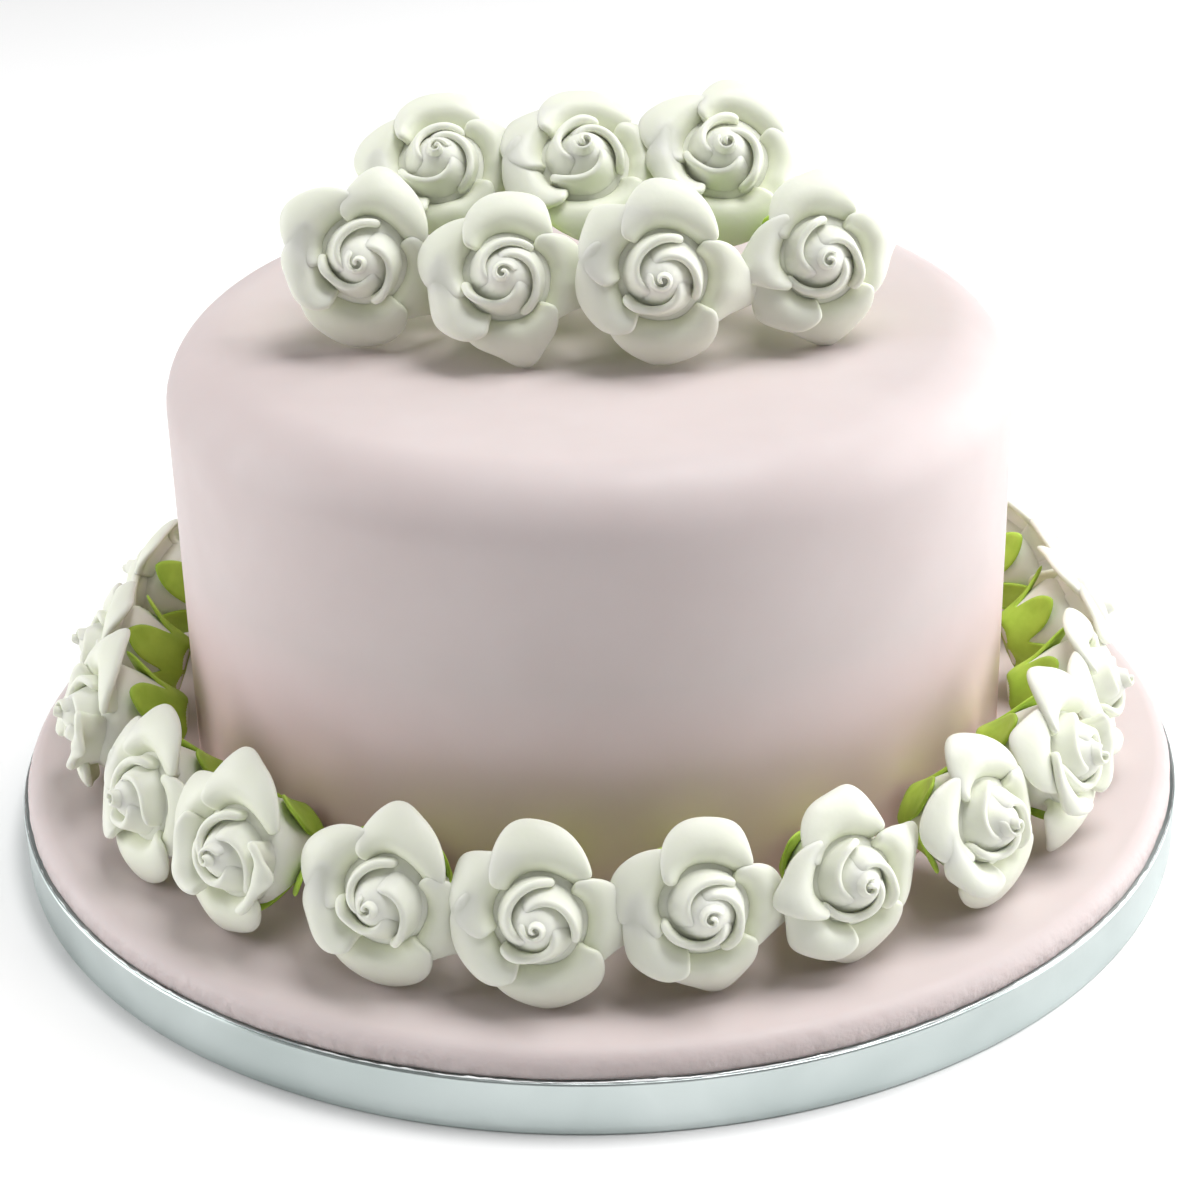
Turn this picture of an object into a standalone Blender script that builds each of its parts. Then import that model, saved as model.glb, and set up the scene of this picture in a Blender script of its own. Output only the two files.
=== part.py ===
"""Single-tier wedding cake on its covered board, with a ring of sugar roses and seven on top.

Metres, +Z up.  The origin is the centre of the board's underside, and the front faces -Y.
"""
import math
import random

import bmesh
import bpy
from mathutils import Matrix, Vector
from mathutils.bvhtree import BVHTree

MM = 0.001
GAP = 0.3 * MM

# Board: an 11 inch foil-covered drum under a sheet of sugarpaste
BOARD_RADIUS = 139.7 * MM
BOARD_THICK = 13.0 * MM
BOARD_EDGE = 0.6 * MM
PASTE_THICK = 6.0 * MM
PASTE_INSET = 1.0 * MM
PASTE_ROUND = 4.6 * MM
BOARD_TOP = BOARD_THICK + PASTE_THICK
BOARD_SIDES = 60

# Cake: one 7 inch tier with its covering
CAKE_RADIUS = 97.0 * MM
CAKE_HEIGHT = 106.0 * MM
CAKE_ROUND = 15.5 * MM
CAKE_FOOT = BOARD_TOP + GAP
CAKE_TOP = BOARD_TOP + CAKE_HEIGHT
CAKE_SIDES = 52
ROUND_STEPS = 3

# Sugar rose, measured along its own axis from the middle of the calyx's underside
ROSE_SIZES = (1.0, 0.98, 1.01, 0.97, 1.04)
PETAL_THICK = 1.7 * MM
PETAL_TUCK = 1.7 * MM
PETAL_ROOT = (8.0 * MM, 11.0 * MM)
PETAL_WAIST = (12.2 * MM, 16.5 * MM)
PETAL_BELLY = (13.0 * MM, 27.0 * MM)
PETAL_TIP = (17.0 * MM, 23.0 * MM)
# Outer petals: angle round the axis (-90 is down), half width in degrees, stretch of the tip,
# and how far the tip rolls back
PETAL_PLACES = (
    (-90.0, 50.0, 1.19, 4.5 * MM),
    (-18.0, 44.0, 0.97, 4.5 * MM),
    (54.0, 44.0, 1.08, 1.0 * MM),
    (126.0, 44.0, 1.08, 2.0 * MM),
    (198.0, 44.0, 0.97, 0.0 * MM),
)
PETAL_ACROSS = 4
PETAL_ALONG = 3
ROSE_TRIANGLES = 366
CORE_SIDES = 9
CORE_LOBES = 3
# Core rings: radius, height along the axis, and how far a wrapped petal's edge stands out
CORE_RINGS = (
    (6.6, 1.3, 0.0),
    (10.6, 13.0, 0.0),
    (9.7, 27.5, 1.2),
    (7.7, 27.7, 0.9),
    (5.6, 24.0, 0.2),
    (4.6, 31.8, 0.8),
    (2.6, 32.6, 0.5),
)
CORE_EYE = 28.0 * MM

# Calyx: a green cup with five broad sepals
SEPALS = 5
SEPAL_THICK = 0.9 * MM
SEPAL_NOTCH = 5.0 * MM
SEPAL_TIP = 12.0 * MM
CALYX_CLEAR = 0.9 * MM

# Ring of roses: turn from the front, tilt, spin and which rose, for those that the front shows;
# the rest share the arc left over
RING_FRONT = (
    (-75.3, 17.0, -5.0, 4),
    (-56.4, 18.0, 6.0, 2),
    (-39.9, 16.0, 2.0, 4),
    (-22.0, 17.0, -4.0, 0),
    (-6.1, 17.0, 5.0, 2),
    (10.1, 16.0, 0.0, 1),
    (25.9, 18.0, 8.0, 3),
    (43.9, 17.0, 4.0, 0),
    (59.8, 16.0, -4.0, 4),
)
RING_COUNT = 21
RING_TILT = 17.0
RING_SEED = 11

# Roses on top: X, Y of the calyx, turn from the front, tilt, spin and which rose
LOWER_ROW = (
    (-47.5, 2.0, -4.0, 15.0, -14.0, 0),
    (-16.5, -10.0, -3.0, 27.0, 4.0, 1),
    (16.0, -13.0, 0.0, 13.0, -4.0, 2),
    (47.5, -4.0, 10.0, 18.0, 12.0, 3),
)
UPPER_ROW = (
    (-31.0, 15.0, -4.0, 45.0, 12.0, 1),
    (-0.5, 10.5, 2.0, 50.0, 4.0, 2),
    (30.0, 14.0, 4.0, 42.0, -10.0, 0),
)

PINK = (0.82, 0.68, 0.67, 1.0)
FOIL = (0.62, 0.68, 0.68, 1.0)
WHITE = (0.86, 0.87, 0.80, 1.0)
GREEN = (0.28, 0.48, 0.06, 1.0)


def clear_scene():
    for thing in list(bpy.data.objects):
        bpy.data.objects.remove(thing, do_unlink=True)


def material(name, colour, roughness, metallic=0.0):
    made = bpy.data.materials.new(name)
    made.use_nodes = True
    shader = made.node_tree.nodes["Principled BSDF"]
    shader.inputs["Base Color"].default_value = colour
    shader.inputs["Roughness"].default_value = roughness
    shader.inputs["Metallic"].default_value = metallic
    return made


def finish_mesh(bm, name, sharp_angle=math.radians(50.0)):
    bmesh.ops.recalc_face_normals(bm, faces=bm.faces)
    bmesh.ops.triangulate(bm, faces=bm.faces)
    mesh = bpy.data.meshes.new(name)
    bm.to_mesh(mesh)
    bm.free()
    mesh.shade_smooth()
    mesh.set_sharp_from_angle(angle=sharp_angle)
    return mesh


def add_object(name, mesh, matrix=None):
    thing = bpy.data.objects.new(name, mesh)
    if matrix is not None:
        thing.matrix_world = matrix
    bpy.context.scene.collection.objects.link(thing)
    return thing


def turned(profile, sides):
    """A turned solid from (radius, height) pairs, bottom to top, closed by flat caps."""
    bm = bmesh.new()
    rings = []
    for radius, height in profile:
        ring = []
        for step in range(sides):
            angle = math.tau * step / sides
            ring.append(bm.verts.new((radius * math.cos(angle), radius * math.sin(angle), height)))
        rings.append(ring)
    close_rings(bm, rings)
    return bm


def close_rings(bm, rings):
    sides = len(rings[0])
    for low, high in zip(rings, rings[1:]):
        for step in range(sides):
            after = (step + 1) % sides
            bm.faces.new((low[step], low[after], high[after], high[step]))
    bm.faces.new(reversed(rings[0]))
    bm.faces.new(rings[-1])


def rounded_edge(radius, height, round_radius, steps=ROUND_STEPS):
    """The quarter-round from a side of this radius to a top at this height."""
    points = []
    for step in range(steps + 1):
        angle = math.pi / 2 * step / steps
        points.append((
            radius - round_radius * (1 - math.cos(angle)),
            height - round_radius * (1 - math.sin(angle)),
        ))
    return points


def board_foil():
    profile = [(BOARD_RADIUS - BOARD_EDGE, 0.0), (BOARD_RADIUS, BOARD_EDGE)]
    profile += [(BOARD_RADIUS, BOARD_THICK - BOARD_EDGE - GAP)]
    profile += [(BOARD_RADIUS - BOARD_EDGE, BOARD_THICK - GAP)]
    return finish_mesh(turned(profile, BOARD_SIDES), "board_foil")


def board_paste():
    side = BOARD_RADIUS - PASTE_INSET
    profile = [(side, BOARD_THICK)] + rounded_edge(side, BOARD_TOP, PASTE_ROUND)
    return finish_mesh(turned(profile, BOARD_SIDES), "board_icing")


def cake_body():
    profile = [(CAKE_RADIUS, CAKE_FOOT)] + rounded_edge(CAKE_RADIUS, CAKE_TOP, CAKE_ROUND)
    return finish_mesh(turned(profile, CAKE_SIDES), "cake")


def petal_curve(along, stretch, curl):
    """Radius and height of an outer petal's middle line, a Bezier curve that rolls back at its tip."""
    tip = (PETAL_TIP[0] * stretch, PETAL_TIP[1] - curl)
    weights = (
        (1 - along) ** 3,
        3 * along * (1 - along) ** 2,
        3 * along ** 2 * (1 - along),
        along ** 3,
    )
    points = (PETAL_ROOT, PETAL_WAIST, PETAL_BELLY, tip)
    radius = sum(weight * point[0] for weight, point in zip(weights, points))
    height = sum(weight * point[1] for weight, point in zip(weights, points))
    return radius, height


def petal_sheet(angle, half_angle, stretch, curl):
    """One outer petal: a curved sheet with a rounded outline, given its thickness."""
    bm = bmesh.new()
    bmesh.ops.create_grid(bm, x_segments=PETAL_ACROSS, y_segments=PETAL_ALONG, size=1.0)
    for vert in bm.verts:
        across = vert.co.x
        along = (vert.co.y + 1) / 2 * (1 - 0.24 * abs(across) ** 2.4)
        radius, height = petal_curve(along, stretch, curl)
        radius += PETAL_TUCK * across * along
        height -= 1.0 * MM * across ** 2 * along
        turn = angle + across * half_angle * (0.72 + 0.28 * along)
        vert.co = (radius * math.cos(turn), radius * math.sin(turn), height)
    bmesh.ops.triangulate(bm, faces=bm.faces)
    bm.normal_update()
    for vert in bm.verts:
        vert.co += vert.normal * PETAL_THICK / 2
    bmesh.ops.solidify(bm, geom=bm.faces, thickness=PETAL_THICK)
    return finish_mesh(bm, "petal")


def rose_core(twist):
    """The bud and the petals wrapped round it, with three edges that stand out in a spiral."""
    bm = bmesh.new()
    rings = []
    for radius, height, edge in CORE_RINGS:
        ring = []
        for step in range(CORE_SIDES):
            angle = math.tau * step / CORE_SIDES + twist * height / CORE_RINGS[-1][1]
            lobe = (step * CORE_LOBES / CORE_SIDES) % 1.0
            wide = (radius + edge * lobe) * MM
            tall = (height - edge * lobe) * MM
            ring.append(bm.verts.new((wide * math.cos(angle), wide * math.sin(angle), tall)))
        rings.append(ring)
    for low, high in zip(rings, rings[1:]):
        for step in range(CORE_SIDES):
            after = (step + 1) % CORE_SIDES
            bm.faces.new((low[step], low[after], high[after], high[step]))
    bm.faces.new(reversed(rings[0]))
    eye = bm.verts.new((0.0, 0.0, CORE_EYE))
    for step in range(CORE_SIDES):
        bm.faces.new((rings[-1][step], rings[-1][(step + 1) % CORE_SIDES], eye))
    return finish_mesh(bm, "core")


def rose_mesh(kind, size):
    """One rose, its outer petals fused to the core."""
    draw = random.Random(kind)
    core = add_object("core", rose_core(draw.uniform(0.3, 0.8)))
    petals = bpy.data.collections.new("petals")
    for place, half_width, stretch, curl in PETAL_PLACES:
        angle = math.radians(place + draw.uniform(-6.0, 6.0))
        stretch += draw.uniform(-0.02, 0.02)
        curl += draw.uniform(0.0, 1.0) * MM
        sheet = petal_sheet(angle, math.radians(half_width), stretch, curl)
        petals.objects.link(bpy.data.objects.new("petal", sheet))
    fuse = core.modifiers.new("fuse", "BOOLEAN")
    fuse.operation = "UNION"
    fuse.operand_type = "COLLECTION"
    fuse.collection = petals
    fuse.solver = "EXACT"
    fused = applied(core)
    for petal in list(petals.objects):
        bpy.data.objects.remove(petal, do_unlink=True)
    bpy.data.collections.remove(petals)
    bm = bmesh.new()
    bm.from_mesh(fused)
    bmesh.ops.scale(bm, vec=(size, size, size), verts=bm.verts)
    whole = add_object("whole", finish_mesh(bm, "whole"))
    thin = whole.modifiers.new("thin", "DECIMATE")
    thin.ratio = ROSE_TRIANGLES / len(whole.data.polygons)
    bm = bmesh.new()
    bm.from_mesh(applied(whole))
    return finish_mesh(bm, "rose_" + str(kind))


def applied(thing):
    """The mesh of an object with its modifiers applied; the object itself is removed."""
    bpy.context.view_layer.update()
    mesh = bpy.data.meshes.new_from_object(thing.evaluated_get(bpy.context.evaluated_depsgraph_get()))
    bpy.data.objects.remove(thing, do_unlink=True)
    return mesh


def calyx_radius(height):
    """Inner radius of the calyx, clear of the cone that the rose's core makes there."""
    base, spread = CORE_RINGS[0], CORE_RINGS[1]
    slope = (spread[0] - base[0]) / (spread[1] - base[1])
    return base[0] * MM + slope * (height - base[1] * MM) + CALYX_CLEAR


def calyx_mesh(kind, size):
    """The green cup behind a rose, with five pointed sepals."""
    draw = random.Random(100 + kind)
    bm = bmesh.new()
    under = CORE_RINGS[0][1] * MM - GAP
    levels = []
    for step in range(2 * SEPALS):
        levels.append(SEPAL_NOTCH if step % 2 else SEPAL_TIP * draw.uniform(0.88, 1.06))
    outer_cup = sepal_ring(bm, [0.0] * len(levels), SEPAL_THICK * 0.4)
    outer_rim = sepal_ring(bm, levels, SEPAL_THICK)
    inner_rim = sepal_ring(bm, levels, 0.0)
    inner_cup = sepal_ring(bm, [under] * len(levels), 0.0)
    close_rings(bm, (outer_cup, outer_rim, inner_rim, inner_cup))
    bmesh.ops.scale(bm, vec=(size, size, size), verts=bm.verts)
    return finish_mesh(bm, "calyx_" + str(kind))


def sepal_ring(bm, levels, proud):
    """One ring of the calyx, at the given heights and this far outside its inner face."""
    ring = []
    for step, level in enumerate(levels):
        turn = math.tau * step / len(levels)
        side = calyx_radius(level) + proud
        ring.append(bm.verts.new((side * math.cos(turn), side * math.sin(turn), level)))
    return ring


def facing(turn, tilt, spin):
    """The rotation of a rose that faces turn (from the front, to the right) and up by tilt."""
    return (
        Matrix.Rotation(turn, 4, "Z")
        @ Matrix.Rotation(math.pi / 2 - tilt, 4, "X")
        @ Matrix.Rotation(spin, 4, "Z")
    )


def points_of(meshes, matrix):
    return [matrix @ vert.co for mesh in meshes for vert in mesh.vertices]


def tree_of(pairs):
    """A search tree over meshes placed by their matrices."""
    points = []
    faces = []
    for mesh, matrix in pairs:
        first = len(points)
        points += [matrix @ vert.co for vert in mesh.vertices]
        faces += [[first + index for index in face.vertices] for face in mesh.polygons]
    return BVHTree.FromPolygons(points, faces)


def place_rose(name, kind, matrix, flowers, cups):
    add_object("rose_" + name, flowers[kind], matrix)
    add_object("calyx_" + name, cups[kind], matrix)


def ring_places():
    """Turn, tilt, spin and kind of all the ring's roses, going round to the right."""
    draw = random.Random(RING_SEED)
    places = list(RING_FRONT)
    unseen = RING_COUNT - len(RING_FRONT)
    last = RING_FRONT[-1][0]
    step = (360.0 + RING_FRONT[0][0] - last) / (unseen + 1)
    for index in range(unseen):
        tilt = RING_TILT + draw.uniform(-2.0, 2.0)
        spin = draw.uniform(-7.0, 7.0)
        places.append((last + step * (index + 1), tilt, spin, (2 * index + 1) % len(ROSE_SIZES)))
    return places


def build_ring(flowers, cups):
    """Each rose rests on the board's paste with its calyx against the cake."""
    for index, (turn, tilt, spin, kind) in enumerate(ring_places()):
        rotation = facing(math.radians(turn), math.radians(tilt), math.radians(spin))
        outward = Vector((math.sin(math.radians(turn)), -math.cos(math.radians(turn)), 0.0))
        points = points_of((flowers[kind], cups[kind]), rotation)
        nearest = min(point.dot(outward) for point in points)
        lowest = min(point.z for point in points)
        place = outward * (CAKE_RADIUS + GAP - nearest)
        place.z = BOARD_TOP + GAP - lowest
        matrix = Matrix.Translation(place) @ rotation
        place_rose("ring_" + format(index + 1, "02d"), kind, matrix, flowers, cups)


def build_top(flowers, cups):
    """Four roses lie on the cake and three more rest in the valleys behind them."""
    placed = []
    for index, (x, y, turn, tilt, spin, kind) in enumerate(LOWER_ROW):
        rotation = facing(math.radians(turn), math.radians(tilt), math.radians(spin))
        lowest = min(point.z for point in points_of((flowers[kind], cups[kind]), rotation))
        matrix = Matrix.Translation((x * MM, y * MM, CAKE_TOP + GAP - lowest)) @ rotation
        place_rose("top_" + str(index + 1), kind, matrix, flowers, cups)
        placed += [(flowers[kind], matrix), (cups[kind], matrix)]
    for index, (x, y, turn, tilt, spin, kind) in enumerate(UPPER_ROW):
        rotation = facing(math.radians(turn), math.radians(tilt), math.radians(spin))
        height = resting_height(tree_of(placed), rotation, x * MM, y * MM, (flowers[kind], cups[kind]))
        matrix = Matrix.Translation((x * MM, y * MM, height)) @ rotation
        place_rose("top_" + str(len(LOWER_ROW) + index + 1), kind, matrix, flowers, cups)
        placed += [(flowers[kind], matrix), (cups[kind], matrix)]


def resting_height(under, rotation, x, y, meshes):
    """The lowest height at which these meshes, lowered from above, stay clear of what lies under them."""
    low = CAKE_TOP
    high = CAKE_TOP + 80 * MM
    while high - low > 0.02 * MM:
        middle = (low + high) / 2
        matrix = Matrix.Translation((x, y, middle)) @ rotation
        touches = tree_of([(mesh, matrix) for mesh in meshes]).overlap(under)
        if touches:
            low = middle
        else:
            high = middle
    return high + 2 * GAP


def paint(pink, foil, white, green):
    for thing in bpy.data.objects:
        kind = thing.name.split("_")[0]
        finish = {"rose": white, "calyx": green, "cake": pink, "board": pink}[kind]
        if thing.name == "board_foil":
            finish = foil
        if not thing.data.materials:
            thing.data.materials.append(finish)


def main():
    clear_scene()
    add_object("board_foil", board_foil())
    add_object("board_icing", board_paste())
    add_object("cake", cake_body())
    flowers = [rose_mesh(kind, size) for kind, size in enumerate(ROSE_SIZES)]
    cups = [calyx_mesh(kind, size) for kind, size in enumerate(ROSE_SIZES)]
    build_ring(flowers, cups)
    build_top(flowers, cups)
    paint(
        material("icing_pink", PINK, 0.55),
        material("foil", FOIL, 0.3, 1.0),
        material("rose_white", WHITE, 0.5),
        material("calyx_green", GREEN, 0.5),
    )


main()
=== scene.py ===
# %% [markdown]
# # A single-tier wedding cake with sugar roses
# The real object is a round cake under a smooth sheet of pale pink sugarpaste. It stands on a
# thick foil-covered drum whose top wears the same paste. White sugar roses with green calyxes
# lie round its foot and seven more lie on top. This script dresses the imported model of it.
# We load that model first: each named node is where its part belongs, and the nodes never move.

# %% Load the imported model
import math
import random

import bmesh
import bpy
from mathutils import Matrix, Vector, noise


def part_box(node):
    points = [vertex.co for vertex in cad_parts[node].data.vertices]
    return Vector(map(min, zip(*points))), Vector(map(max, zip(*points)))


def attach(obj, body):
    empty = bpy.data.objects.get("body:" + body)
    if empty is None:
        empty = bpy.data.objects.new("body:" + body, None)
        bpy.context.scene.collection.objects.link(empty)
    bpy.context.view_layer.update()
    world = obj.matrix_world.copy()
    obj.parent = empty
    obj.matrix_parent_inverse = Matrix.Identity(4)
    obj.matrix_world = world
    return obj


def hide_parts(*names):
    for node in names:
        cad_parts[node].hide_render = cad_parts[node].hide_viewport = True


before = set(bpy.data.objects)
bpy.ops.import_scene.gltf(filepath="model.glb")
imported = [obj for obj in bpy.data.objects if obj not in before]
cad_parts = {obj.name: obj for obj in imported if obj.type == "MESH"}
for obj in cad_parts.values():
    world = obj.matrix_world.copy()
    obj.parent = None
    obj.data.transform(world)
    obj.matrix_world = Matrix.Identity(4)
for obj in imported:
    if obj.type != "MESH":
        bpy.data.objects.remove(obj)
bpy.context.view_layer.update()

MM = 0.001

# %% [markdown]
# ## Small helpers
# An operator works on everything that is selected, and the loaded nodes arrive selected. So one
# helper clears the selection and another makes one object the active one. A third moves every
# vertex by a rule, which is how clay-like forms are shaped in code, and a fourth applies the
# modifiers, so that the finished form is in the mesh itself.

# %% Helpers for selecting, shaping and finishing
def deselect():
    if bpy.context.object and bpy.context.object.mode != "OBJECT":
        bpy.ops.object.mode_set(mode="OBJECT")
    bpy.ops.object.select_all(action="DESELECT")


def activate(thing):
    deselect()
    thing.select_set(True)
    bpy.context.view_layer.objects.active = thing


def added(name):
    """Names the object that an add operator has just made."""
    thing = bpy.context.object
    thing.name = thing.data.name = name
    return thing


def reshape(thing, rule):
    for vertex in thing.data.vertices:
        vertex.co = rule(vertex.co.copy())
    thing.data.update()


def apply_modifiers(thing):
    activate(thing)
    for modifier in list(thing.modifiers):
        bpy.ops.object.modifier_apply(modifier=modifier.name)


def joined(things, name):
    activate(things[0])
    for thing in things:
        thing.select_set(True)
    bpy.ops.object.join()
    return added(name)


def smoothed(thing, angle=None):
    activate(thing)
    if angle is None:
        bpy.ops.object.shade_smooth()
    else:
        bpy.ops.object.shade_smooth_by_angle(angle=math.radians(angle))
    return thing


def triangles(thing):
    return sum(len(face.vertices) - 2 for face in thing.data.polygons)


# %% [markdown]
# ## The camera
# The photograph looks down on the cake from about 27 degrees above the table. The lens and the
# place were found by fitting the round outlines of the board and the cake, whose sizes are known.
# A turn about the line of sight of just over a degree levels the board as the photograph has it.

# %% Place the camera
EYE = Vector((1.2, -586.8, 349.7)) * MM
AIM = Vector((1.2, 0.0, 51.1)) * MM
LENS = 82.2
ROLL = math.radians(-1.34)

bpy.ops.object.camera_add()
camera = added("camera")
camera.data.lens = LENS
camera.data.sensor_width = 36.0
camera.data.clip_start = 0.01
look = (AIM - EYE).to_track_quat("-Z", "Y").to_matrix().to_4x4()
camera.matrix_world = Matrix.Translation(EYE) @ look @ Matrix.Rotation(ROLL, 4, "Z")
bpy.context.scene.camera = camera
look_down = math.degrees(math.asin((EYE - AIM).normalized().z))
print("camera looks down by", round(look_down, 1), "degrees")

# %% [markdown]
# ## Floor and light
# The photograph is a white studio picture. A broad light hangs overhead and a little to the
# right, so that the table and the top of the cake are the brightest planes. Two lower soft lights
# stand at the sides, the right one stronger, which leaves the front of the cake in soft shade. The
# floor is plain and pale, and reaches past every edge of the picture, so its brightness is the
# background.

# %% Make the stage
FLOOR_SIZE = 8.0
FLOOR_WHITE = (0.96, 0.96, 0.96, 1.0)
FLOOR_ROUGHNESS = 0.9
ROOM_WHITE = (1.0, 1.0, 1.0, 1.0)
ROOM_STRENGTH = 0.22
LIGHT_SIZE = 0.9
LIGHT_AIM = Vector((0, 0, 0.07))
# name, place in metres and power in watts
LIGHTS = (
    ("overhead_light", (0.45, 0.12, 1.6), 22.5),
    ("left_light", (-1.1, 0.05, 0.3), 9.3),
    ("right_light", (1.1, 0.2, 0.4), 12.0),
)

deselect()
bpy.ops.mesh.primitive_plane_add(size=FLOOR_SIZE)
floor = added("floor")

pale = bpy.data.materials.new("pale_floor")
pale.use_nodes = True
pale_shader = pale.node_tree.nodes["Principled BSDF"]
pale_shader.inputs["Base Color"].default_value = FLOOR_WHITE
pale_shader.inputs["Roughness"].default_value = FLOOR_ROUGHNESS
pale_shader.inputs["Specular IOR Level"].default_value = 0.0
floor.data.materials.append(pale)


def soft_light(name, place, watts):
    """A square studio light that faces the middle of the cake."""
    deselect()
    bpy.ops.object.light_add(type="AREA", location=place)
    light = added(name)
    light.data.shape = "SQUARE"
    light.data.size = LIGHT_SIZE
    light.data.energy = watts
    light.rotation_mode = "QUATERNION"
    light.rotation_quaternion = (LIGHT_AIM - Vector(place)).to_track_quat("-Z", "Y")


for name, place, watts in LIGHTS:
    soft_light(name, place, watts)

world = bpy.data.worlds.new("studio")
bpy.context.scene.world = world
world.use_nodes = True
world.node_tree.nodes["Background"].inputs["Color"].default_value = ROOM_WHITE
world.node_tree.nodes["Background"].inputs["Strength"].default_value = ROOM_STRENGTH
bpy.context.scene.view_settings.view_transform = "Standard"
print(len(LIGHTS), "soft lights over a floor", FLOOR_SIZE, "m wide")

# %% [markdown]
# ## Materials
# Sugarpaste is matte to satin. Light goes a little way into it, so it looks soft, and its colour
# and sheen are never quite even. Every material here is a Principled shader whose colour,
# roughness and bump come from noise in Object coordinates. The pieces sit at the origin, so those
# coordinates are real metres, and a scale of 1000 means grains of about a millimetre.

# %% A helper for procedural materials
def add_node(material, kind, **inputs):
    """Adds a shader node and sets its inputs; an input that is a socket gets a link."""
    node = material.node_tree.nodes.new(kind)
    for name, value in inputs.items():
        socket = node.inputs[name.replace("_", " ")]
        if isinstance(value, bpy.types.NodeSocket):
            material.node_tree.links.new(value, socket)
        else:
            socket.default_value = value
    return node


def connect(material, source, shader_input):
    shader = material.node_tree.nodes["Principled BSDF"]
    material.node_tree.links.new(source, shader.inputs[shader_input])


def start_material(name, roughness, metallic=0.0, specular=0.5):
    material = bpy.data.materials.new(name)
    material.use_nodes = True
    shader = material.node_tree.nodes["Principled BSDF"]
    shader.inputs["Roughness"].default_value = roughness
    shader.inputs["Metallic"].default_value = metallic
    shader.inputs["Specular IOR Level"].default_value = specular
    place = add_node(material, "ShaderNodeTexCoord").outputs["Object"]
    return material, shader, place


def add_noise(material, place, scale, detail=3.0, distortion=0.0):
    node = add_node(material, "ShaderNodeTexNoise", Vector=place, Scale=scale, Detail=detail)
    node.inputs["Distortion"].default_value = distortion
    return node.outputs["Fac"]


def add_range(material, value, low, high, to_low, to_high):
    node = add_node(material, "ShaderNodeMapRange", Value=value, From_Min=low, From_Max=high,
                    To_Min=to_low, To_Max=to_high)
    return node.outputs["Result"]


def add_mix(material, share, first, second):
    node = material.node_tree.nodes.new("ShaderNodeMix")
    node.data_type = "RGBA"
    for socket, value in ((0, share), (6, first), (7, second)):
        if isinstance(value, bpy.types.NodeSocket):
            material.node_tree.links.new(value, node.inputs[socket])
        else:
            node.inputs[socket].default_value = value
    return node.outputs[2]


def add_bump(material, *layers):
    """Stacks bump layers of (height, strength, distance) and gives the last one to the shader."""
    normal = None
    for height, strength, distance in layers:
        node = add_node(material, "ShaderNodeBump", Height=height, Strength=strength,
                        Distance=distance)
        if normal is not None:
            material.node_tree.links.new(normal, node.inputs["Normal"])
        normal = node.outputs["Normal"]
    connect(material, normal, "Normal")


# %% [markdown]
# ### Pale pink sugarpaste
# The covering is rolled out, smoothed by hand and polished with a flat tool. What is left is a
# faint cloudiness of colour, a slightly uneven sheen and a very fine grain. The board's sheet is
# the same paste, but its cut edge is rougher, so that roughness is added below a given height. Near
# its foot the wall looks lighter and warmer than above, because the light that comes up from the
# board and through the roses is pink. That light is painted into the colour: a lighter, warmer pink
# that grows towards the foot.

# %% Make the two pink pastes
PINK_LIGHT = (0.665, 0.585, 0.578, 1.0)
PINK_DEEP = (0.63, 0.545, 0.537, 1.0)
# a darker pink laid in patches on the board sheet's rough side
PINK_SIDE_PATCHES = (0.52, 0.44, 0.43, 1.0)
# painted bounce light at the wall's foot: a lighter, warmer pink, its largest share, and the height
# over which it grows
PAINTED_BOUNCE_PINK = (0.99, 0.67, 0.69, 1.0)
PAINTED_BOUNCE_SHARE = 0.85
PAINTED_BOUNCE_RISE = 60.0 * MM


def pink_paste(name, rough_below=None, rough_above=None, painted_bounce_from=None):
    """The paste is rough from rough_above down to rough_below. Below the last height given, a
    lighter and warmer pink that grows towards the foot is painted in as bounced light.
    """
    material, shader, place = start_material(name, 0.5, specular=0.35)
    clouds = add_noise(material, place, 22.0, detail=4.0)
    blend = add_range(material, clouds, 0.35, 0.65, 0.0, 1.0)
    colour = add_mix(material, blend, PINK_LIGHT, PINK_DEEP)
    sheen = add_noise(material, place, 60.0, detail=2.0)
    grain = add_noise(material, place, 1400.0, detail=2.0)
    ripple = add_noise(material, place, 45.0, detail=1.0)
    layers = [(grain, 0.1, 0.00008), (ripple, 0.15, 0.0008)]
    if rough_below is not None:
        height = add_node(material, "ShaderNodeSeparateXYZ", Vector=place).outputs["Z"]
        edge = add_range(material, height, rough_above, rough_below, 0.0, 1.0)
        pits = add_noise(material, place, 300.0, detail=5.0)
        rough = add_node(material, "ShaderNodeMath")
        rough.operation = "MULTIPLY"
        material.node_tree.links.new(pits, rough.inputs[0])
        material.node_tree.links.new(edge, rough.inputs[1])
        layers.append((rough.outputs[0], 0.8, 0.0016))
        # the sheet's side is darkened in patches that follow the pits
        side_patches = add_range(material, rough.outputs[0], 0.15, 0.6, 0.0, 0.8)
        colour = add_mix(material, side_patches, colour, PINK_SIDE_PATCHES)
    # painted bounce light: towards the foot the colour turns to a lighter, warmer pink
    if painted_bounce_from is not None:
        height = add_node(material, "ShaderNodeSeparateXYZ", Vector=place).outputs["Z"]
        painted_bounce = add_range(material, height, painted_bounce_from, painted_bounce_from - PAINTED_BOUNCE_RISE, 0.0, PAINTED_BOUNCE_SHARE)
        colour = add_mix(material, painted_bounce, colour, PAINTED_BOUNCE_PINK)
    connect(material, colour, "Base Color")
    connect(material, add_range(material, sheen, 0.3, 0.7, 0.42, 0.6), "Roughness")
    shader.inputs["Subsurface Weight"].default_value = 0.12
    shader.inputs["Subsurface Radius"].default_value = (1.0, 0.45, 0.35)
    shader.inputs["Subsurface Scale"].default_value = 0.003
    add_bump(material, *layers)
    return material


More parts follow.
